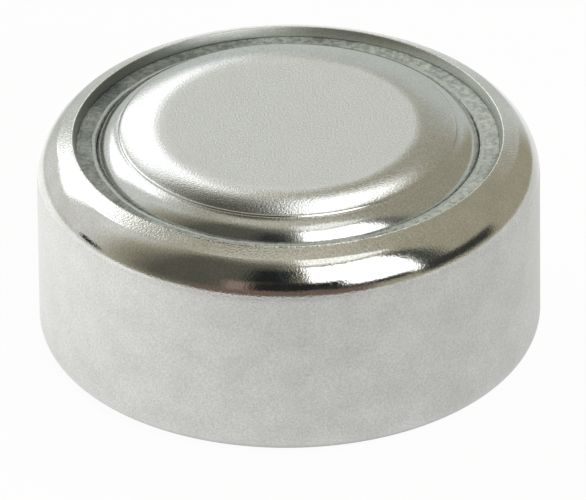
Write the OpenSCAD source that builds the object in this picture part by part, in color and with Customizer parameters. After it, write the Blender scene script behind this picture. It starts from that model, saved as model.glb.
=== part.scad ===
// Silver oxide button cell, 11.6 mm across and 5.4 mm high.
// The can is the positive pole and holds the cathode; the cap is the negative pole and holds the anode.
// The can's wall is rolled in over a nylon gasket, which grips the cap's folded rim and seals the cell.
// Origin: centre of the can's base. +Z points from the can's base to the cap's contact face.

/* [Cell] */
// Outside diameter of the cell, across the can's wall
cell_d = 11.6; // [11.2:0.05:12.4]
// Overall height, from the can's base to the cap's contact face
cell_h = 5.4; // [4.8:0.05:6]

/* [Can] */
// Thickness of the can's steel sheet
can_sheet = 0.25; // [0.18:0.01:0.3]
// Outside radius where the can's base turns up into its wall
can_corner_r = 0.52; // [0.4:0.02:0.7]
// Height by which the cap stands above the can's lip
cap_proud = 0.31; // [0.22:0.01:0.4]
// Outside radius of the rolled shoulder
crimp_r = 0.85; // [0.8:0.01:0.9]
// Angle through which the wall is rolled
crimp_turn = 60; // [55:1:65]
// Straight length of sheet from the end of the roll to the cut edge
crimp_flat = 0.45; // [0.3:0.01:0.5]

/* [Cap] */
// Thickness of the cap's clad sheet
cap_sheet = 0.2; // [0.15:0.01:0.22]
// Height of the raised contact pad above the ledge round it
pad_rise = 0.21; // [0.1:0.01:0.3]
// Width over which the pad's edge curves down to the ledge
pad_round_w = 0.9; // [0.5:0.05:1.2]
// Width of the ledge, from the foot of the pad to the cap's wall
ledge_w = 0.46; // [0.4:0.01:0.6]
// Outside radius where the ledge turns down into the cap's wall
ledge_r = 0.35; // [0.25:0.01:0.38]
// Inside corner radius at the foot of the cap's wall
cap_foot_r = 0.15; // [0.08:0.01:0.16]
// Outside radius where the cap's shoulder turns down into its skirt
cap_shoulder_r = 0.4; // [0.3:0.01:0.42]
// Depth of the fold's free edge below the shoulder's curve
fold_drop = 0.23; // [0.1:0.01:0.6]
// Gap left between the two layers of the fold
fold_gap = 0.05; // [0.02:0.01:0.08]

/* [Gasket] */
// Thickness of the gasket between the can's wall and the cap's skirt
gasket_side = 0.3; // [0.25:0.01:0.34]
// Thickness of the gasket's foot under the cap's rim
gasket_foot = 0.3; // [0.2:0.01:0.4]
// Width of the ring of gasket that shows between the can's lip and the cap
gasket_show = 0.445; // [0.4:0.005:0.48]
// Depth of the gasket's top below the inner edge of the can's lip
gasket_drop = 0.01; // [0.01:0.01:0.08]
// Thickness of the inner lip that stands inside the cap's rim
gasket_lip_w = 0.25; // [0.15:0.01:0.35]
// Height of that inner lip above the foot
gasket_lip_h = 0.55; // [0.4:0.05:1]

/* [Cathode] */
// Height of the pressed cathode pellet
pellet_h = 1.75; // [1.4:0.05:1.85]
// Gap between the pellet and the can's wall
pellet_clearance = 0.05; // [0.02:0.01:0.1]

/* [Support ring] */
// Thickness of the ring's sheet
ring_sheet = 0.12; // [0.08:0.01:0.18]
// Width of the ring's flange, on top of the pellet
ring_flange_w = 0.8; // [0.5:0.05:1.2]
// Height of the ring's collar, round the pellet
ring_collar_h = 0.6; // [0.4:0.05:1]
// Outside radius of the bend between the flange and the collar
ring_bend_r = 0.2; // [0.19:0.01:0.3]

/* [Separator] */
// Thickness of the barrier membrane
membrane_t = 0.1; // [0.04:0.01:0.14]
// Gap between the membrane's edge and the can's wall
membrane_clearance = 0.05; // [0.02:0.01:0.15]
// Thickness of the absorbent pad
pad_t = 0.4; // [0.3:0.05:0.5]
// Gap between the absorbent pad's edge and the gasket
pad_clearance = 0.05; // [0.02:0.01:0.2]

/* [Hidden] */
$fn = 128;

// The can, in section. Its wall is rolled in from can_wall_h up, and the lip is the cut edge of the roll.
can_r = cell_d / 2;
can_in_r = can_r - can_sheet;
can_wall_h = cell_h - cap_proud - crimp_r * sin(crimp_turn) - crimp_flat * cos(crimp_turn);
crimp_x = can_r - crimp_r;
crimp_in_r = crimp_r - can_sheet;
lip_in_r = crimp_x + crimp_in_r * cos(crimp_turn) - crimp_flat * sin(crimp_turn);
lip_in_z = can_wall_h + crimp_in_r * sin(crimp_turn) + crimp_flat * cos(crimp_turn);

// The stack in the can, from its floor up
pellet_z = can_sheet;
stack_z = pellet_z + pellet_h;
gasket_z = stack_z + membrane_t;
cap_z = gasket_z + gasket_foot;
pad_z = gasket_z + pad_t;

// The cap, in section. Its skirt is two layers of sheet with a fold at the bottom.
cap_r = lip_in_r - gasket_show;
pad_r = cap_r - ledge_w;
ledge_z = cell_h - pad_rise;
pad_round_r = (pow(pad_round_w, 2) + pow(pad_rise, 2)) / (2 * pad_rise);
shoulder_z = can_wall_h + crimp_in_r - gasket_side;
fold_r = cap_sheet + fold_gap / 2;
fold_mid_r = can_in_r - gasket_side - fold_r;
fold_mid_z = cap_z + fold_r;
fold_top_z = shoulder_z - cap_shoulder_r - fold_drop;
skirt_r = fold_mid_r - fold_gap / 2;
skirt_in_r = skirt_r - cap_sheet;

// The gasket, the pellet and the ring, in section
gasket_top_z = lip_in_z - gasket_drop;
gasket_in_r = skirt_in_r - gasket_lip_w;
gasket_lip_z = cap_z + gasket_lip_h;
pellet_r = can_in_r - pellet_clearance;
pellet_corner_r = can_corner_r - can_sheet;
ring_bend_x = pellet_r - ring_bend_r;
ring_bend_z = stack_z - ring_bend_r;

// A sector of a disc, centred on [x, z], from one angle to another, 90 degrees apart at most
module sector(x, z, r, from, to) {
    reach = 2 * r;
    translate([x, z])
        intersection() {
            circle(r);
            rotate(from)
                square(reach);
            rotate(to)
                translate([0, -reach])
                    square(reach);
        }
}

// A rectangle in the section, between two radii and two heights
module block(r_in, r_out, z_low, z_high) {
    translate([r_in, z_low])
        square([r_out - r_in, z_high - z_low]);
}

// A bend in sheet, in section: a sector of a ring
module bend(x, z, r_out, sheet, from, to) {
    difference() {
        sector(x, z, r_out, from, to);
        translate([x, z])
            circle(r_out - sheet);
    }
}

// The sheet of the can, from the axis along the base, up the wall and over to the cut edge
module can_section() {
    block(0, can_r - can_corner_r, 0, can_sheet);
    bend(can_r - can_corner_r, can_corner_r, can_corner_r, can_sheet, -90, 0);
    block(can_in_r, can_r, can_corner_r, can_wall_h);
    bend(crimp_x, can_wall_h, crimp_r, can_sheet, 0, crimp_turn);
    translate([crimp_x, can_wall_h])
        rotate(crimp_turn)
            translate([crimp_in_r, 0])
                square([can_sheet, crimp_flat]);
}

// The space inside the can, from a height in its wall up to a height below its lip
module can_space(z_low, z_high) {
    difference() {
        union() {
            block(0, can_in_r, z_low, can_wall_h);
            sector(crimp_x, can_wall_h, crimp_in_r, 0, crimp_turn);
            translate([crimp_x, can_wall_h])
                rotate(crimp_turn)
                    square([crimp_in_r, crimp_flat]);
            polygon([[0, can_wall_h], [crimp_x, can_wall_h], [lip_in_r, z_high], [0, z_high]]);
        }
        block(0, can_r, z_high, cell_h);
    }
}

// Everything inside the cap's outer face, or inside a face that lies inset further in,
// down to where the skirt starts its fold
module cap_form(inset) {
    difference() {
        union() {
            polygon([
                [0, fold_mid_z],
                [skirt_r - inset, fold_mid_z],
                [skirt_r - inset, shoulder_z - cap_shoulder_r],
                [skirt_r - cap_shoulder_r, shoulder_z - cap_shoulder_r],
                [skirt_r - cap_shoulder_r, shoulder_z - inset],
                [cap_r + cap_foot_r, shoulder_z - inset],
                [cap_r + cap_foot_r, shoulder_z + cap_foot_r],
                [cap_r - inset, shoulder_z + cap_foot_r],
                [cap_r - inset, ledge_z - ledge_r],
                [cap_r - ledge_r, ledge_z - ledge_r],
                [cap_r - ledge_r, ledge_z - inset],
                [pad_r - pad_round_w, ledge_z - inset],
                [pad_r - pad_round_w, cell_h - inset],
                [0, cell_h - inset]
            ]);
            sector(skirt_r - cap_shoulder_r, shoulder_z - cap_shoulder_r, cap_shoulder_r - inset, 0, 90);
            sector(cap_r - ledge_r, ledge_z - ledge_r, ledge_r - inset, 0, 90);
            pad_edge(inset);
        }
        sector(cap_r + cap_foot_r, shoulder_z + cap_foot_r, cap_foot_r + inset, 180, 270);
    }
}

// The curved edge of the contact pad, above the ledge
module pad_edge(inset) {
    intersection() {
        translate([pad_r - pad_round_w, cell_h - pad_round_r])
            circle(pad_round_r - inset);
        block(pad_r - pad_round_w, cap_r, ledge_z - inset, cell_h + 1);
    }
}

// The cap's fold, a U of sheet, and the layer that stands up from it outside the skirt
module cap_fold() {
    bend(fold_mid_r, fold_mid_z, fold_r, cap_sheet, 180, 270);
    bend(fold_mid_r, fold_mid_z, fold_r, cap_sheet, 270, 360);
    block(fold_mid_r + fold_gap / 2, fold_mid_r + fold_r, fold_mid_z, fold_top_z);
}

// Deep-drawn, nickel-plated steel can, with its wall rolled in at the top
module cathode_can() {
    color("#bfc0bb")
        rotate_extrude()
            can_section();
}

// Pressed silver oxide pellet, rounded to clear the can's corner and rebated for the ring
module cathode_pellet() {
    corner_x = pellet_r - pellet_corner_r;
    corner_z = pellet_z + pellet_corner_r;
    color("#2b2a2c")
        rotate_extrude() {
            block(0, corner_x, pellet_z, corner_z);
            sector(corner_x, corner_z, pellet_corner_r, -90, 0);
            block(0, pellet_r, corner_z, stack_z - ring_collar_h);
            block(0, pellet_r - ring_sheet, stack_z - ring_collar_h, ring_bend_z);
            block(0, ring_bend_x, ring_bend_z, stack_z - ring_sheet);
            sector(ring_bend_x, ring_bend_z, ring_bend_r - ring_sheet, 0, 90);
            block(0, pellet_r - ring_flange_w, stack_z - ring_sheet, stack_z);
        }
}

// Nickel-plated steel ring that keeps the pellet's rim from crumbling as the can is rolled
module support_ring() {
    color("#a9aba8")
        rotate_extrude() {
            block(pellet_r - ring_sheet, pellet_r, stack_z - ring_collar_h, ring_bend_z);
            bend(ring_bend_x, ring_bend_z, ring_bend_r, ring_sheet, 0, 90);
            block(pellet_r - ring_flange_w, ring_bend_x, stack_z - ring_sheet, stack_z);
        }
}

// Grafted film disc, clamped between the ring and the gasket's foot
module barrier_membrane() {
    color("#e3ddc6")
        rotate_extrude()
            block(0, can_in_r - membrane_clearance, stack_z, gasket_z);
}

// Non-woven disc that holds the electrolyte
module absorbent_pad() {
    color("#f2f1ea")
        rotate_extrude()
            block(0, gasket_in_r - pad_clearance, gasket_z, pad_z);
}

// Gelled zinc powder, which fills the cap down to the absorbent pad
module zinc_anode() {
    color("#6f7377")
        rotate_extrude()
            difference() {
                union() {
                    cap_form(cap_sheet);
                    block(0, gasket_in_r, pad_z, gasket_lip_z);
                }
                block(gasket_in_r, cell_d, 0, gasket_lip_z);
            }
}

// Nylon gasket: a foot and an inner lip that hold the cap's rim, and a wall that the can
// squeezes over the cap's shoulder
module sealing_gasket() {
    color("#8b9088")
        rotate_extrude() {
            difference() {
                can_space(gasket_z, gasket_top_z);
                block(0, gasket_in_r, gasket_z, fold_mid_z);
                cap_form(0);
                translate([fold_mid_r, fold_mid_z])
                    circle(fold_r);
                block(skirt_r, fold_mid_r + fold_r, fold_mid_z, fold_top_z);
            }
            block(gasket_in_r, skirt_in_r, fold_mid_z, gasket_lip_z);
        }
}

// Deep-drawn cap of nickel, steel and copper sheet, stepped at the top and folded at the rim
module anode_cup() {
    color("#c6c5bf")
        rotate_extrude() {
            difference() {
                cap_form(0);
                cap_form(cap_sheet);
            }
            cap_fold();
        }
}

cathode_can();
cathode_pellet();
support_ring();
barrier_membrane();
absorbent_pad();
zinc_anode();
sealing_gasket();
anode_cup();
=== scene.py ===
# Silver oxide button cell, put together from the can up: cathode, ring, separator, anode, cap and gasket.
# Sections are drawn in millimetres, x as the radius and z as the height, and are made metres when spun.
import math

import bmesh
import bpy
from mathutils import Matrix, Vector, noise


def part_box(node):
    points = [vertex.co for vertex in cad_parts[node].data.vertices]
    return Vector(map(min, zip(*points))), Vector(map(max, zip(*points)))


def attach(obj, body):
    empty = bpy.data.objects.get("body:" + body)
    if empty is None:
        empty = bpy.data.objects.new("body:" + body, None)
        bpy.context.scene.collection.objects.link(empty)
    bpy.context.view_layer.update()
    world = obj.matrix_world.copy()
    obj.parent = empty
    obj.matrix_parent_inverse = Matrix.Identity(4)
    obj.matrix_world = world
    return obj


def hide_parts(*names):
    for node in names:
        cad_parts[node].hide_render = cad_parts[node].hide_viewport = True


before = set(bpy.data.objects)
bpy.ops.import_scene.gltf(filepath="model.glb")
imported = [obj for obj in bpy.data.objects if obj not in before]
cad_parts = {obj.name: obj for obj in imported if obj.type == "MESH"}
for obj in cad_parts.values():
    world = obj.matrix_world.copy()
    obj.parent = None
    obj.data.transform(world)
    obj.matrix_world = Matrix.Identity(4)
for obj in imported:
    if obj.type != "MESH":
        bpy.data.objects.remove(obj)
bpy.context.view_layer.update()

bpy.context.scene.view_settings.view_transform = "Standard"


# Camera. A long lens looks down on the cell from in front, level with the horizon to within a degree.
MM = 0.001
look_down = math.radians(31.04)
camera_roll = math.radians(0.66)
lens_mm = 1000
camera_distance = 376 * MM
cell_mid = Vector((0, 0, 2.7)) * MM
cell_left_of_middle = 0.0926 * MM
cell_above_middle = 0.582 * MM

right = Vector((1, 0, 0))
up = Vector((0, math.sin(look_down), math.cos(look_down)))
back = Vector((0, -math.cos(look_down), math.sin(look_down)))
tipped_right = right * math.cos(camera_roll) - up * math.sin(camera_roll)
tipped_up = right * math.sin(camera_roll) + up * math.cos(camera_roll)
aim = cell_mid + tipped_right * cell_left_of_middle - tipped_up * cell_above_middle
lens = bpy.data.cameras.new("long_lens")
lens.lens = lens_mm
lens.clip_start = camera_distance / 10
lens.clip_end = camera_distance * 10
camera = bpy.data.objects.new("camera", lens)
camera.matrix_world = Matrix.Translation(aim + back * camera_distance) @ Matrix(
    (tipped_right, tipped_up, back)).transposed().to_4x4()
bpy.context.scene.collection.objects.link(camera)
bpy.context.scene.camera = camera


# The can: one cup of steel sheet, deep-drawn, barrel-plated in nickel, and rolled in at the top over the
# gasket. Its wall keeps the satin of the plating barrel, the closing die burnishes the shoulder, and the
# lip shows the sheared edge of the sheet.
can_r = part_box("cathode_can")[1].x / MM
can_sheet = 0.25
can_corner_r = 0.52
can_wall_h = 4.049
crimp_r = 1.1
crimp_turn = 55
knuckle_r = 0.1
knuckle_turn = 10
lip_band_w = 0.39
lip_band_turn = 3
lip_edge_r = 0.03
burnish_low_z, burnish_high_z = 4.16, 4.25
lip_low_z, lip_high_z = 4.93, 4.99
cut_outer_r, cut_inner_r = 4.975, 4.945
foot_shade_high_z, foot_shade_low_z = 0.3, 0.02
cut_shaded_side, cut_lit_side = -5, -3
pebble_w, pebble_h = 0.045, 0.006


def start_at(x, z):
    """Starts a section at a radius and a height, and returns it with its tip."""
    section = bmesh.new()
    return section, section.verts.new((x, 0, z))


def line_to(section, tip, x, z, step=0.1):
    """Draws a straight from the tip to a radius and height, in short steps, and returns the new tip."""
    way = Vector((x, 0, z)) - tip.co
    count = max(1, round(way.length / step))
    for _ in range(count):
        grown = bmesh.ops.extrude_vert_indiv(section, verts=[tip])["verts"][0]
        grown.co = tip.co + way / count
        tip = grown
    return tip


def arc_about(section, tip, x, z, turn, step=5):
    """Swings the tip about a point by an angle in degrees, anticlockwise in the section, and returns it."""
    steps = max(2, round(abs(turn) / step))
    swung = bmesh.ops.spin(section, geom=[tip], cent=(x, 0, z), axis=(0, -1, 0), angle=math.radians(turn),
                           steps=steps, use_merge=False)
    return next(part for part in swung["geom_last"] if isinstance(part, bmesh.types.BMVert))


def outward(slope):
    """Gives the direction, in the section, that lies this many degrees above the horizon."""
    return Vector((math.cos(math.radians(slope)), 0, math.sin(math.radians(slope))))


def spun(section, doublings=5, wedge_steps=12):
    """Spins a section through a wedge, doubles it until it is a full turn, and closes and orients it."""
    wedge = 360 / 2 ** doublings
    bmesh.ops.spin(section, geom=section.verts[:] + section.edges[:], cent=(0, 0, 0), axis=(0, 0, 1),
                   angle=math.radians(wedge), steps=wedge_steps, use_merge=False)
    for doubling in range(doublings):
        whole = section.verts[:] + section.edges[:] + section.faces[:]
        again = bmesh.ops.duplicate(section, geom=whole)["geom"]
        corners = [part for part in again if isinstance(part, bmesh.types.BMVert)]
        turn = Matrix.Rotation(math.radians(wedge * 2 ** doubling), 3, "Z")
        bmesh.ops.rotate(section, verts=corners, cent=(0, 0, 0), matrix=turn)
    bmesh.ops.remove_doubles(section, verts=section.verts, dist=0.0001)
    bmesh.ops.recalc_face_normals(section, faces=section.faces)
    return section


def piece_from(form, name, material):
    """Turns a form drawn in millimetres into a smooth piece in metres, at the frame's origin."""
    bmesh.ops.scale(form, vec=(MM, MM, MM), verts=form.verts)
    mesh = bpy.data.meshes.new(name)
    form.to_mesh(mesh)
    form.free()
    mesh.shade_smooth()
    mesh.materials.append(material)
    piece = bpy.data.objects.new(name, mesh)
    bpy.context.scene.collection.objects.link(piece)
    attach(piece, "root")
    return piece


def linear(code):
    """Turns an sRGB hex colour into the linear colour that a shader takes."""
    parts = [int(code[i:i + 2], 16) / 255 for i in (1, 3, 5)]
    return [c / 12.92 if c <= 0.04045 else ((c + 0.055) / 1.055) ** 2.4 for c in parts] + [1]


def node(tree, kind, feeds=None, **settings):
    """Adds a node with its settings, and gives each of its inputs a value or another node's output."""
    made = tree.nodes.new("ShaderNode" + kind)
    for name, value in settings.items():
        setattr(made, name, value)
    for socket, value in (feeds or {}).items():
        if isinstance(value, bpy.types.NodeSocket):
            tree.links.new(value, made.inputs[socket])
        else:
            made.inputs[socket].default_value = value
    return made


def started(name):
    """Starts a material, and returns it with its tree, its shader and the piece's own coordinates."""
    material = bpy.data.materials.new(name)
    material.use_nodes = True
    tree = material.node_tree
    place = node(tree, "TexCoord").outputs["Object"]
    return material, tree, tree.nodes["Principled BSDF"], place


def per_mm(size_mm):
    """Gives the texture scale, per metre, of a pattern whose grains are this many millimetres across."""
    return 1 / (size_mm * MM)


def surface(tree, shader, tint, roughness, bump):
    """Leads a material's colour, roughness and relief to its shader."""
    tree.links.new(tint, shader.inputs["Base Color"])
    tree.links.new(roughness, shader.inputs["Roughness"])
    tree.links.new(bump, shader.inputs["Normal"])


# Bright nickel over drawn steel. The barrel leaves a fine pebbled satin on the wall, with faint upright
# draw marks and cloudy patches, and a painted shadow darkens the foot where it meets the floor. The rolled
# shoulder is nearly a mirror with a slight peel, the lip is a little duller, and the sheared edge of the
# sheet is matt, with painted shade that darkens it on the back-left side. The pebble is too fine to show at
# its real size, so it is drawn as coarse as it needs to show.
barrel_plated, tree, shader, place = started("nickel_plate_barrel_finished")
height = node(tree, "SeparateXYZ", {0: place}).outputs["Z"]
flat = node(tree, "VectorMath", {0: place, 1: (1, 1, 0)}, operation="MULTIPLY").outputs[0]
radius = node(tree, "VectorMath", {0: flat}, operation="LENGTH").outputs["Value"]
rolled = node(tree, "MapRange", {0: height, 1: burnish_low_z * MM, 2: burnish_high_z * MM},
              interpolation_type="SMOOTHSTEP").outputs[0]
lip = node(tree, "MapRange", {0: height, 1: lip_low_z * MM, 2: lip_high_z * MM},
           interpolation_type="SMOOTHSTEP").outputs[0]
cut = node(tree, "MapRange", {0: radius, 1: cut_outer_r * MM, 2: cut_inner_r * MM}).outputs[0]
# Painted shadow: the can darkens towards the floor at its foot.
foot = node(tree, "MapRange", {0: height, 1: foot_shade_high_z * MM, 2: foot_shade_low_z * MM},
            interpolation_type="SMOOTHSTEP").outputs[0]
pebble = node(tree, "TexNoise", {"Vector": place, "Scale": per_mm(pebble_w), "Detail": 1}).outputs[0]
mottle = node(tree, "TexNoise", {"Vector": place, "Scale": per_mm(0.8), "Detail": 5}).outputs[0]
drawn = node(tree, "Mapping", {"Vector": place, "Scale": (1, 1, 0.04)}).outputs[0]
draw_mark = node(tree, "TexNoise", {"Vector": drawn, "Scale": per_mm(0.12), "Detail": 2}).outputs[0]
satin = node(tree, "MapRange", {0: mottle, 1: 0.3, 2: 0.7, 3: 0.28, 4: 0.38}).outputs[0]
rub = node(tree, "MapRange", {0: draw_mark, 1: 0.3, 2: 0.7, 3: 0.06, 4: 0.12}).outputs[0]
roughness = node(tree, "Mix", {0: rolled, 2: satin, 3: rub}).outputs[0]
roughness = node(tree, "Mix", {0: lip, 2: roughness, 3: 0.15}).outputs[0]
roughness = node(tree, "Mix", {0: cut, 2: roughness, 3: 0.42}).outputs[0]
tint = node(tree, "MapRange", {0: mottle, 1: 0.35, 2: 0.65}).outputs[0]
tint = node(tree, "Mix", {0: tint, 6: linear("#D9D9D5"), 7: linear("#E4E5E2")}, data_type="RGBA").outputs[2]
# Painted shade: the sheared edge darkens on the back-left side of the cell.
across = node(tree, "VectorMath", {0: place, 1: (0.8, -0.6, 0)}, operation="DOT_PRODUCT").outputs["Value"]
cut_lit = node(tree, "MapRange", {0: across, 1: cut_shaded_side * MM, 2: cut_lit_side * MM}).outputs[0]
sheared = node(tree, "Mix", {0: cut_lit, 6: linear("#7F8583"), 7: linear("#C6CAC3")}, data_type="RGBA")
sheared = sheared.outputs[2]
tint = node(tree, "Mix", {0: cut, 6: tint, 7: sheared}, data_type="RGBA").outputs[2]
tint = node(tree, "Mix", {0: foot, 6: tint, 7: linear("#9C9B96")}, data_type="RGBA").outputs[2]
specks = node(tree, "MapRange", {0: pebble, 1: 0.3, 2: 0.7, 3: 0.82, 4: 1.02}).outputs[0]
tint = node(tree, "Mix", {0: 1.0, 6: tint, 7: specks}, data_type="RGBA", blend_type="MULTIPLY").outputs[2]
relief = node(tree, "Math", {0: draw_mark, 1: 0.3, 2: pebble}, operation="MULTIPLY_ADD").outputs[0]
depth = node(tree, "MapRange", {0: rolled, 3: 1.0, 4: 0.3}).outputs[0]
unburnished = node(tree, "Math", {0: cut, 1: lip}, operation="MAXIMUM").outputs[0]
depth = node(tree, "Math", {0: depth, 1: unburnished}, operation="MAXIMUM").outputs[0]
bump = node(tree, "Bump", {"Strength": depth, "Distance": pebble_h * MM, "Height": relief}).outputs[0]
surface(tree, shader, tint, roughness, bump)
shader.inputs["Metallic"].default_value = 1

section, tip = start_at(0, 0)
tip = line_to(section, tip, can_r - can_corner_r, 0, 0.25)
tip = arc_about(section, tip, can_r - can_corner_r, can_corner_r, 90)
tip = line_to(section, tip, can_r, can_wall_h)
tip = arc_about(section, tip, can_r - crimp_r, can_wall_h, crimp_turn, 2)
knuckle_mid = tip.co - outward(crimp_turn) * knuckle_r
tip = arc_about(section, tip, knuckle_mid.x, knuckle_mid.z, knuckle_turn, 2)
lip_slope = crimp_turn + knuckle_turn
band_r = lip_band_w / math.radians(lip_band_turn)
band_mid = tip.co - outward(lip_slope) * band_r
tip = arc_about(section, tip, band_mid.x, band_mid.z, lip_band_turn, 0.5)
lip_corners = [tip]
lip_foot = tip.co - outward(lip_slope + lip_band_turn) * can_sheet
tip = line_to(section, tip, lip_foot.x, lip_foot.z, 0.25)
lip_corners.append(tip)
crimp_mid = Vector((can_r - crimp_r, 0, can_wall_h))
crimp_inside = crimp_mid + outward(crimp_turn) * (crimp_r - can_sheet)
tip = line_to(section, tip, crimp_inside.x, crimp_inside.z, 0.15)
tip = arc_about(section, tip, crimp_mid.x, crimp_mid.z, -crimp_turn, 10)
tip = line_to(section, tip, can_r - can_sheet, can_corner_r, 0.5)
tip = arc_about(section, tip, can_r - can_corner_r, can_corner_r, -90, 15)
tip = line_to(section, tip, 0, can_sheet, 0.6)
bmesh.ops.bevel(section, geom=lip_corners, affect="VERTICES", offset=lip_edge_r, segments=4, profile=0.5,
                material=-1)
can = piece_from(spun(section), "can", barrel_plated)
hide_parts("cathode_can")


# The cathode: silver oxide powder with a little graphite, pressed to a pellet and seated on the can's
# floor.
def coat(name, material):
    """Gives a piece that keeps its own solid its real material."""
    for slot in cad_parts[name].material_slots:
        slot.material = material


# Fine powder under high pressure: dark, dense and nearly even, with the faint gloss that graphite gives.
pressed, tree, shader, place = started("silver_oxide_pressed")
grain = node(tree, "TexNoise", {"Vector": place, "Scale": per_mm(0.06), "Detail": 4, "Roughness": 0.7})
grain = grain.outputs[0]
cloud = node(tree, "TexNoise", {"Vector": place, "Scale": per_mm(1.2), "Detail": 3}).outputs[0]
tint = node(tree, "Mix", {0: cloud, 6: linear("#2E2C2B"), 7: linear("#474442")}, data_type="RGBA").outputs[2]
roughness = node(tree, "MapRange", {0: grain, 1: 0.3, 2: 0.7, 3: 0.45, 4: 0.7}).outputs[0]
bump = node(tree, "Bump", {"Strength": 0.6, "Distance": 0.02 * MM, "Height": grain}).outputs[0]
surface(tree, shader, tint, roughness, bump)
coat("cathode_pellet", pressed)


# The support ring: nickel-plated steel strip, stamped to an L in section. It sits on the pellet's rim, where
# it takes the closing force.

# Plated nickel as the stamping press leaves it: bright, with fine scuffs and faint clouds.
stamped, tree, shader, place = started("nickel_plate_stamped")
scuff = node(tree, "TexNoise", {"Vector": place, "Scale": per_mm(0.1), "Detail": 4, "Roughness": 0.6})
scuff = scuff.outputs[0]
cloud = node(tree, "TexNoise", {"Vector": place, "Scale": per_mm(0.9), "Detail": 2}).outputs[0]
tint = node(tree, "Mix", {0: cloud, 6: linear("#C9C9C4"), 7: linear("#DADAD6")}, data_type="RGBA").outputs[2]
roughness = node(tree, "MapRange", {0: scuff, 1: 0.3, 2: 0.7, 3: 0.18, 4: 0.34}).outputs[0]
bump = node(tree, "Bump", {"Strength": 0.5, "Distance": 0.008 * MM, "Height": scuff}).outputs[0]
surface(tree, shader, tint, roughness, bump)
shader.inputs["Metallic"].default_value = 1
coat("support_ring", stamped)


# The barrier: a disc of grafted polyethylene film laminated with cellophane, punched from sheet and clamped
# under the gasket's foot.

# Cellophane film: smooth and a little amber, with the faint ripple of wet film.
film, tree, shader, place = started("cellophane_film_punched")
ripple = node(tree, "TexNoise", {"Vector": place, "Scale": per_mm(0.7), "Detail": 3}).outputs[0]
tint = node(tree, "Mix", {0: ripple, 6: linear("#BFA468"), 7: linear("#D9C48E")}, data_type="RGBA").outputs[2]
roughness = node(tree, "MapRange", {0: ripple, 1: 0.3, 2: 0.7, 3: 0.12, 4: 0.28}).outputs[0]
bump = node(tree, "Bump", {"Strength": 0.5, "Distance": 0.02 * MM, "Height": ripple}).outputs[0]
surface(tree, shader, tint, roughness, bump)
coat("barrier_membrane", film)


# The absorbent pad: a disc of non-woven cellulose that holds the electrolyte, punched from felted sheet and
# laid on the barrier.

# Felted fibres that lie flat in all directions: off-white and matt, thicker in some places than in others.
# They are too fine to show at their real width, so they are drawn as coarse as they need to show.
wander_w = 1.2 * MM
felted, tree, shader, place = started("cellulose_nonwoven_felted")
wander = node(tree, "TexNoise", {"Vector": place, "Scale": per_mm(0.6), "Detail": 2}).outputs["Color"]
strewn = node(tree, "VectorMath", {0: wander, 1: (wander_w, wander_w, 0), 2: place},
              operation="MULTIPLY_ADD").outputs[0]
fibre = node(tree, "TexNoise", {"Vector": strewn, "Scale": per_mm(0.07), "Detail": 3, "Distortion": 1.5})
fibre = fibre.outputs[0]
cloud = node(tree, "TexNoise", {"Vector": place, "Scale": per_mm(1.0), "Detail": 3}).outputs[0]
tint = node(tree, "Mix", {0: cloud, 6: linear("#D8D3C4"), 7: linear("#ECE9DF")}, data_type="RGBA").outputs[2]
bump = node(tree, "Bump", {"Strength": 0.9, "Distance": 0.04 * MM, "Height": fibre}).outputs[0]
roughness = node(tree, "MapRange", {0: fibre, 1: 0.3, 2: 0.7, 3: 0.75, 4: 0.95}).outputs[0]
surface(tree, shader, tint, roughness, bump)
coat("absorbent_pad", felted)


# The anode: zinc powder in gelled potash, filled into the cap before the closing. It touches the cap all
# over, and so makes it the negative pole.

# Zinc powder in gel: blunt grey grains of metal, darker between, under a wet gel that gives them a shine.
gelled, tree, shader, place = started("zinc_powder_gelled")
grains = node(tree, "TexVoronoi", {"Vector": place, "Scale": per_mm(0.16)}, feature="F1").outputs
dust = node(tree, "TexNoise", {"Vector": place, "Scale": per_mm(0.05), "Detail": 3}).outputs[0]
tint = node(tree, "Mix", {0: dust, 6: linear("#6C7073"), 7: linear("#A9ADAF")}, data_type="RGBA").outputs[2]
between = node(tree, "MapRange", {0: grains["Distance"], 1: 0.35, 2: 0.7}).outputs[0]
tint = node(tree, "Mix", {0: between, 6: tint, 7: linear("#45484A")}, data_type="RGBA").outputs[2]
bump = node(tree, "Bump", {"Strength": 0.8, "Distance": 0.04 * MM, "Height": grains["Distance"]},
            invert=True).outputs[0]
roughness = node(tree, "MapRange", {0: dust, 1: 0.3, 2: 0.7, 3: 0.35, 4: 0.6}).outputs[0]
surface(tree, shader, tint, roughness, bump)
shader.inputs["Metallic"].default_value = 0.7
shader.inputs["Coat Weight"].default_value = 0.5
coat("zinc_anode", gelled)


# The cap: one cup of nickel, steel and copper sheet, drawn to a stepped pad at the top and folded back at
# the rim, where the gasket grips it.
cell_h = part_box("anode_cup")[1].z / MM
cap_sheet = 0.2
cap_r = 4.4153
pad_flat_r = 2.88
pad_round_w = 0.97
pad_round_h = 0.12
pad_edge_r = 0.08
pad_edge_turn = 55
pad_crease_r = 0.05
ledge_turn = 15
ledge_r = 0.725
pad_round_r = (pad_round_w ** 2 + pad_round_h ** 2) / (2 * pad_round_h)
pad_round_turn = math.degrees(math.asin(pad_round_w / pad_round_r))
blast_inner_r, blast_outer_r = 2.7, 3.2
grit_w, grit_h = 0.045, 0.006
cap_foot_r = 0.15
cap_shoulder_r = 0.4
cap_shoulder_z = 4.4289
skirt_r = 5.0
fold_gap = 0.05
fold_top_z = 3.7989
fold_mid_r = skirt_r + fold_gap / 2
fold_r = cap_sheet + fold_gap / 2
fold_mid_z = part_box("anode_cup")[0].z / MM + fold_r

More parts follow.
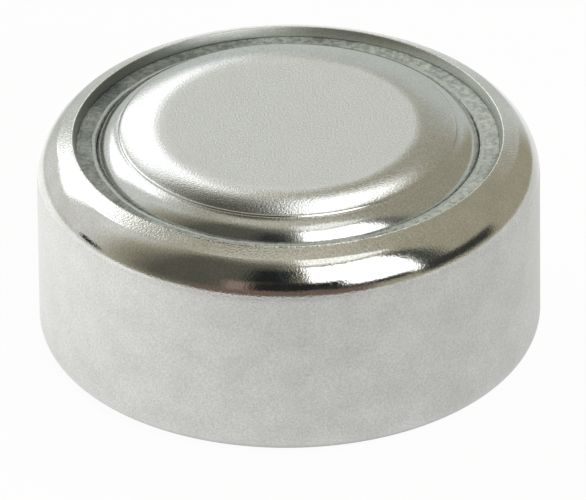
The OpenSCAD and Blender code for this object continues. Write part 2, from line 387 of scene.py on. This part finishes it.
# The nickel face of the clad sheet. Bead blasting leaves the pad's flat a grainy satin that fades out over
# its edge, and the drawing die leaves the rounds and the ledge bright, with a slight grain. The grain is too
# fine to show at its real size, so it is drawn as coarse as it needs to show.
blasted, tree, shader, place = started("nickel_clad_bead_blasted")
flat = node(tree, "VectorMath", {0: place, 1: (1, 1, 0)}, operation="MULTIPLY").outputs[0]
radius = node(tree, "VectorMath", {0: flat}, operation="LENGTH").outputs["Value"]
pad_flat = node(tree, "MapRange", {0: radius, 1: blast_inner_r * MM, 2: blast_outer_r * MM, 3: 1, 4: 0},
                interpolation_type="SMOOTHSTEP").outputs[0]
grit = node(tree, "TexNoise", {"Vector": place, "Scale": per_mm(grit_w), "Detail": 1}).outputs[0]
mottle = node(tree, "TexNoise", {"Vector": place, "Scale": per_mm(0.8), "Detail": 4}).outputs[0]
matt = node(tree, "MapRange", {0: mottle, 1: 0.3, 2: 0.7, 3: 0.36, 4: 0.44}).outputs[0]
roughness = node(tree, "Mix", {0: pad_flat, 2: 0.16, 3: matt}).outputs[0]
tint = node(tree, "Mix", {0: mottle, 6: linear("#D0D2D0"), 7: linear("#DFE1E0")}, data_type="RGBA").outputs[2]
specks = node(tree, "MapRange", {0: grit, 1: 0.3, 2: 0.7, 3: 0.8, 4: 1.02}).outputs[0]
tint = node(tree, "Mix", {0: 1.0, 6: tint, 7: specks}, data_type="RGBA", blend_type="MULTIPLY").outputs[2]
depth = node(tree, "MapRange", {0: pad_flat, 3: 0.3, 4: 1.0}).outputs[0]
bump = node(tree, "Bump", {"Strength": depth, "Distance": grit_h * MM, "Height": grit}).outputs[0]
surface(tree, shader, tint, roughness, bump)
shader.inputs["Metallic"].default_value = 1

section, tip = start_at(0, cell_h)
tip = line_to(section, tip, pad_flat_r, cell_h)
tip = arc_about(section, tip, pad_flat_r, cell_h - pad_round_r, -pad_round_turn, 1)
edge_mid = tip.co - outward(90 - pad_round_turn) * pad_edge_r
tip = arc_about(section, tip, edge_mid.x, edge_mid.z, pad_round_turn - pad_edge_turn, 5)
crease_mid = tip.co + outward(90 - pad_edge_turn) * pad_crease_r
tip = arc_about(section, tip, crease_mid.x, crease_mid.z, pad_edge_turn - ledge_turn, 6)
ledge_mid = tip.co - outward(90 - ledge_turn) * ledge_r
ledge_end = math.degrees(math.asin((cap_r - ledge_mid.x) / ledge_r))
tip = arc_about(section, tip, ledge_mid.x, ledge_mid.z, ledge_turn - ledge_end, 2)
tip = line_to(section, tip, cap_r, cap_shoulder_z + cap_foot_r, 0.05)
tip = arc_about(section, tip, cap_r + cap_foot_r, cap_shoulder_z + cap_foot_r, 90, 10)
tip = line_to(section, tip, skirt_r - cap_shoulder_r, cap_shoulder_z)
tip = arc_about(section, tip, skirt_r - cap_shoulder_r, cap_shoulder_z - cap_shoulder_r, -90, 10)
tip = line_to(section, tip, skirt_r, fold_mid_z, 0.5)
tip = arc_about(section, tip, fold_mid_r, fold_mid_z, 180, 30)
tip = line_to(section, tip, fold_mid_r + fold_gap / 2, fold_top_z, 0.5)
tip = line_to(section, tip, fold_mid_r + fold_r, fold_top_z, 0.2)
tip = line_to(section, tip, fold_mid_r + fold_r, fold_mid_z, 0.5)
tip = arc_about(section, tip, fold_mid_r, fold_mid_z, -180, 15)
tip = line_to(section, tip, skirt_r - cap_sheet, cap_shoulder_z - cap_shoulder_r, 0.5)
tip = arc_about(section, tip, skirt_r - cap_shoulder_r, cap_shoulder_z - cap_shoulder_r, 90, 15)
tip = line_to(section, tip, cap_r + cap_foot_r, cap_shoulder_z - cap_sheet, 0.2)
tip = arc_about(section, tip, cap_r + cap_foot_r, cap_shoulder_z + cap_foot_r, -90, 15)
ledge_in_r = ledge_r - cap_sheet
ledge_in_end = math.degrees(math.asin((cap_r - cap_sheet - ledge_mid.x) / ledge_in_r))
ledge_in = ledge_mid + outward(90 - ledge_in_end) * ledge_in_r
tip = line_to(section, tip, ledge_in.x, ledge_in.z, 0.2)
tip = arc_about(section, tip, ledge_mid.x, ledge_mid.z, ledge_in_end - ledge_turn, 10)
pad_mid = Vector((pad_flat_r, 0, cell_h - pad_round_r))
pad_in = pad_mid + outward(90 - pad_round_turn) * (pad_round_r - cap_sheet)
tip = line_to(section, tip, pad_in.x, pad_in.z, 0.1)
tip = arc_about(section, tip, pad_mid.x, pad_mid.z, pad_round_turn, 4)
tip = line_to(section, tip, 0, cell_h - cap_sheet, 0.6)
cap = piece_from(spun(section), "cap", blasted)
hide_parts("anode_cup")


# The gasket: a ring of moulded nylon with a J in section, which holds the cap's folded rim. The closing die
# squeezes it up between the can's lip and the cap, where it ends in a rough, beaded face.
gasket_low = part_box("sealing_gasket")[0].z / MM
gasket_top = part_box("sealing_gasket")[1].z / MM
gasket_lip_w = 0.25
gasket_lip_z = 2.95
gasket_gap_w = 0.01
gasket_gap_h = 0.07
gasket_shaded_side, gasket_lit_side = -5, 4
glint_line_r = 4.55
glint_line_half_w = 0.035
glint_line_wander = 0.12
beads_per_mm, fine_beads_per_mm, swells_per_mm = 8, 15, 2
bead_h, bead_growth_h, swell_h = 0.006, 0.03, 0.012
fine_bead_share = 0.7
level_slack = 0.0005

# Moulded nylon under dried sealant, which is uneven in tone and stands in small shiny beads. Painted shade
# darkens it towards the left, and a thin painted highlight runs round beside the cap.
nylon, tree, shader, place = started("nylon_moulded_with_sealant")
streak = node(tree, "Mapping", {"Vector": place, "Scale": (1, 1, 0.1)}).outputs[0]
beads = node(tree, "TexNoise", {"Vector": streak, "Scale": per_mm(0.11), "Detail": 2}).outputs[0]
patches = node(tree, "TexNoise", {"Vector": place, "Scale": per_mm(1.1), "Detail": 3}).outputs[0]
# Painted shade: the nylon darkens towards the left side of the cell, with random patches added.
across = node(tree, "VectorMath", {0: place, 1: (0.95, -0.3, 0)}, operation="DOT_PRODUCT").outputs["Value"]
painted_shade_and_patches = node(tree, "MapRange", {0: across, 1: gasket_shaded_side * MM, 2: gasket_lit_side * MM, 3: -0.3, 4: 0.25})
painted_shade_and_patches = painted_shade_and_patches.outputs[0]
painted_shade_and_patches = node(tree, "Math", {0: painted_shade_and_patches, 1: patches}, operation="ADD").outputs[0]
painted_shade_and_patches = node(tree, "MapRange", {0: painted_shade_and_patches, 1: 0.1, 2: 0.75}).outputs[0]
tint = node(tree, "Mix", {0: painted_shade_and_patches, 6: linear("#5A6261"), 7: linear("#BCC3BC")}, data_type="RGBA").outputs[2]
specks = node(tree, "MapRange", {0: beads, 1: 0.35, 2: 0.65, 3: 0.7, 4: 1.25}).outputs[0]
tint = node(tree, "Mix", {0: 1.0, 6: tint, 7: specks}, data_type="RGBA", blend_type="MULTIPLY").outputs[2]
flat = node(tree, "VectorMath", {0: place, 1: (1, 1, 0)}, operation="MULTIPLY").outputs[0]
radius = node(tree, "VectorMath", {0: flat}, operation="LENGTH").outputs["Value"]
# Painted highlight: a thin bright line, wandering a little, runs round the nylon beside the cap.
wavy = node(tree, "Math", {0: patches, 1: glint_line_wander * MM, 2: radius}, operation="MULTIPLY_ADD").outputs[0]
painted_glint_line = node(tree, "Math", {0: wavy, 1: glint_line_r * MM, 2: glint_line_half_w * MM}, operation="COMPARE")
painted_glint_line = painted_glint_line.outputs[0]
tint = node(tree, "Mix", {0: painted_glint_line, 6: tint, 7: linear("#B9C0BD")}, data_type="RGBA").outputs[2]
roughness = node(tree, "MapRange", {0: beads, 1: 0.3, 2: 0.7, 3: 0.15, 4: 0.4}).outputs[0]
bump = node(tree, "Bump", {"Strength": 1, "Distance": 0.02 * MM, "Height": beads}).outputs[0]
surface(tree, shader, tint, roughness, bump)
shader.inputs["IOR"].default_value = 1.53

section, tip = start_at(skirt_r - cap_sheet - gasket_lip_w, gasket_low)
first = tip
inner_r = can_r - can_sheet
tip = line_to(section, tip, inner_r, gasket_low, 0.5)
tip = line_to(section, tip, inner_r, can_wall_h, 0.5)
tip = arc_about(section, tip, can_r - crimp_r, can_wall_h, crimp_turn, 15)
tip = line_to(section, tip, lip_foot.x, lip_foot.z, 0.1)
tip = line_to(section, tip, cap_r + gasket_gap_w, gasket_top, 0.02)
tip = line_to(section, tip, cap_r, gasket_top - gasket_gap_h, 0.05)
tip = line_to(section, tip, cap_r, cap_shoulder_z + cap_foot_r, 0.15)
tip = arc_about(section, tip, cap_r + cap_foot_r, cap_shoulder_z + cap_foot_r, 90, 15)
tip = line_to(section, tip, skirt_r - cap_shoulder_r, cap_shoulder_z)
tip = arc_about(section, tip, skirt_r - cap_shoulder_r, cap_shoulder_z - cap_shoulder_r, -90, 15)
tip = line_to(section, tip, skirt_r, fold_top_z, 0.5)
tip = line_to(section, tip, fold_mid_r + fold_r, fold_top_z, 0.5)
tip = line_to(section, tip, fold_mid_r + fold_r, fold_mid_z, 0.6)
tip = arc_about(section, tip, fold_mid_r, fold_mid_z, -180, 15)
tip = line_to(section, tip, skirt_r - cap_sheet, gasket_lip_z, 0.5)
tip = line_to(section, tip, skirt_r - cap_sheet - gasket_lip_w, gasket_lip_z, 0.5)
tip = line_to(section, tip, first.co.x, first.co.z, 0.5)
ring = spun(section, 5, 24)
crest_w = lip_foot.x - cap_r - gasket_gap_w
# The beads stand on the face between the cap and the lip and grow towards the lip, where its edge stays put.
for vert in ring.verts:
    across = (Vector(vert.co.xy).length - cap_r - gasket_gap_w) / crest_w
    if vert.co.z > lip_foot.z - level_slack and -0.01 < across < 0.99:
        beads = noise.noise(vert.co * beads_per_mm)
        beads += fine_bead_share * noise.noise(vert.co * fine_beads_per_mm)
        swell = swell_h * noise.noise(vert.co * swells_per_mm)
        vert.co.z += (bead_h + bead_growth_h * across) * beads + swell - swell_h
gasket = piece_from(ring, "gasket", nylon)
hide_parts("sealing_gasket")


# The floor: a wide round of white paper for the cell to stand on. It is cut to a plain disc, laid flat, and
# is no part of the cell.
paper_r = 60 * MM
paper_end_starts, paper_end_r = 20 * MM, 26 * MM
paper_lit_side, paper_shaded_side = -9 * MM, 7 * MM
paper_lit_level, paper_shaded_level = 1.17, 0.72
paper_lift = 0.95
sheet = bmesh.new()
bmesh.ops.create_circle(sheet, cap_ends=True, segments=128, radius=paper_r)
mesh = bpy.data.meshes.new("floor")
sheet.to_mesh(mesh)
sheet.free()
floor = bpy.data.objects.new("floor", mesh)
bpy.context.scene.collection.objects.link(floor)

# White paper. The camera and the metal see it close to plain white, in which a little of the cell's shadow
# is left. The metal sees a painted shade on it, brighter on one side of the cell and dimmer on the other,
# and sees the studio past it.
paper, tree, shader, place = started("white_paper")
far = node(tree, "VectorMath", {0: place}, operation="LENGTH").outputs["Value"]
beyond = node(tree, "MapRange", {0: far, 1: paper_end_starts, 2: paper_end_r},
              interpolation_type="SMOOTHSTEP").outputs[0]
ray = node(tree, "LightPath").outputs
# Painted shade: the metal sees the paper dimmer towards the right-front of the cell.
side = node(tree, "VectorMath", {0: place, 1: (0.8, -0.6, 0)}, operation="DOT_PRODUCT").outputs["Value"]
shade = node(tree, "MapRange", {0: side, 1: paper_lit_side, 2: paper_shaded_side, 3: paper_lit_level, 4: paper_shaded_level})
shade = shade.outputs[0]
strength = node(tree, "Mix", {0: ray["Is Glossy Ray"], 2: 1.0, 3: shade}).outputs[0]
glow = node(tree, "Emission", {"Color": linear("#FFFFFF"), "Strength": strength}).outputs[0]
lift = node(tree, "Math", {0: ray["Is Camera Ray"], 1: ray["Is Glossy Ray"]}, operation="MAXIMUM").outputs[0]
lift = node(tree, "Math", {0: lift, 1: paper_lift}, operation="MULTIPLY").outputs[0]
shader.inputs["Base Color"].default_value = linear("#FFFFFF")
shader.inputs["Roughness"].default_value = 0.9
lifted = node(tree, "MixShader", {0: lift, 1: shader.outputs[0], 2: glow}).outputs[0]
gone = node(tree, "Math", {0: beyond, 1: ray["Is Glossy Ray"]}, operation="MULTIPLY").outputs[0]
clear = node(tree, "BsdfTransparent").outputs[0]
shown = node(tree, "MixShader", {0: gone, 1: lifted, 2: clear}).outputs[0]
tree.links.new(shown, tree.nodes["Material Output"].inputs["Surface"])
floor.data.materials.append(paper)

# The studio round the cell: toward is the compass direction in degrees, 0 behind the cell and 90 to its
# right, and low and high are degrees above the horizon. Each panel covers those before it, and edge is the
# number of degrees over which it fades out.
studio = [
    dict(name="room", toward=0, width=360, low=-90, high=90, edge=1, tone="#ABA692", level=1.0),
    dict(name="ceiling", toward=0, width=360, low=70, high=95, edge=12, tone="#CFCBBB", level=1.0),
    dict(name="pale left wall", toward=-54, width=70, low=-14, high=58, edge=26, tone="#E8E8E4", level=1.0),
    dict(name="pale back wall", toward=0, width=56, low=-16, high=28, edge=12, tone="#D3D6D1", level=1.0),
    dict(name="dark back corner", toward=-12, width=25, low=46, high=72, edge=12, tone="#4A483D", level=1.0),
    dict(name="left panel", toward=-40, width=32, low=17, high=51, edge=5, tone="#FFFFFF", level=1.9),
    dict(name="left panel foot", toward=-10, width=15, low=19, high=41, edge=5, tone="#FFFFFF", level=1.9),
    dict(name="top panel", toward=8, width=14, low=44, high=62, edge=5, tone="#FFFFFF", level=2.4),
    dict(name="dark front", toward=-145, width=74, low=-10, high=72, edge=30, tone="#5F5D54", level=1.0),
    dict(name="black front", toward=-172, width=24, low=18, high=54, edge=12, tone="#24282A", level=1.0),
    dict(name="rusty front", toward=-162, width=20, low=-4, high=22, edge=8, tone="#9A867C", level=1.0),
    dict(name="dark right", toward=114, width=14, low=-5, high=56, edge=10, tone="#4C4E49", level=1.0),
    dict(name="low right", toward=100, width=40, low=-5, high=12, edge=8, tone="#3F403C", level=1.0),
    dict(name="window", toward=146, width=48, low=4, high=58, edge=3, tone="#FFFFFF", level=3.0),
    dict(name="window sill", toward=176, width=44, low=2, high=23, edge=8, tone="#2C2A29", level=1.0),
    dict(name="window ledge", toward=146, width=44, low=0, high=10, edge=6, tone="#3A3836", level=1.0),
    dict(name="window above", toward=136, width=70, low=63, high=80, edge=4, tone="#F4F4F0", level=1.5),
    dict(name="brown foot", toward=-177, width=80, low=-16, high=2, edge=8, tone="#7A6960", level=1.0),
    dict(name="table", toward=0, width=360, low=-95, high=-11, edge=6, tone="#F1F1EE", level=1.0),
    dict(name="black edge", toward=-84, width=12, low=-8, high=-2, edge=3, tone="#1A1A18", level=1.0),
    dict(name="table behind", toward=0, width=50, low=-60, high=-10, edge=10, tone="#FFFFFF", level=1.0),
]
world = bpy.data.worlds.new("studio")
bpy.context.scene.world = world
world.use_nodes = True
tree = world.node_tree
way = node(tree, "TexCoord").outputs["Generated"]
flat = node(tree, "VectorMath", {0: way, 1: (1, 1, 0)}, operation="MULTIPLY").outputs[0]
compass = node(tree, "VectorMath", {0: flat}, operation="NORMALIZE").outputs[0]
upward = node(tree, "SeparateXYZ", {0: way}).outputs["Z"]
rise = node(tree, "Math", {0: upward}, operation="ARCSINE").outputs[0]
light = None
for panel in studio:
    colour = [c * panel["level"] for c in linear(panel["tone"])[:3]] + [1]
    if light is None:
        light = node(tree, "RGB")
        light.outputs[0].default_value = colour
        light = light.outputs[0]
        continue
    edge = math.radians(panel["edge"])
    low, high = math.radians(panel["low"]), math.radians(panel["high"])
    offset = node(tree, "Math", {0: rise, 1: (low + high) / 2}, operation="SUBTRACT").outputs[0]
    offset = node(tree, "Math", {0: offset}, operation="ABSOLUTE").outputs[0]
    reach = (high - low) / 2
    mask = node(tree, "MapRange", {0: offset, 1: reach + edge / 2, 2: reach - edge / 2},
                interpolation_type="SMOOTHSTEP").outputs[0]
    if panel["width"] < 360:
        toward = math.radians(panel["toward"])
        reach = math.radians(panel["width"] / 2)
        ahead = (math.sin(toward), math.cos(toward), 0)
        facing = node(tree, "VectorMath", {0: compass, 1: ahead}, operation="DOT_PRODUCT").outputs["Value"]
        aside = node(tree, "Math", {0: facing}, operation="ARCCOSINE").outputs[0]
        within = node(tree, "MapRange", {0: aside, 1: reach + edge / 2, 2: reach - edge / 2},
                      interpolation_type="SMOOTHSTEP").outputs[0]
        mask = node(tree, "Math", {0: within, 1: mask}, operation="MULTIPLY").outputs[0]
    light = node(tree, "Mix", {0: mask, 6: light, 7: colour}, data_type="RGBA").outputs[2]
seen = node(tree, "LightPath").outputs["Is Camera Ray"]
light = node(tree, "Mix", {0: seen, 6: light, 7: linear("#FFFFFF")}, data_type="RGBA").outputs[2]
tree.links.new(light, tree.nodes["Background"].inputs["Color"])
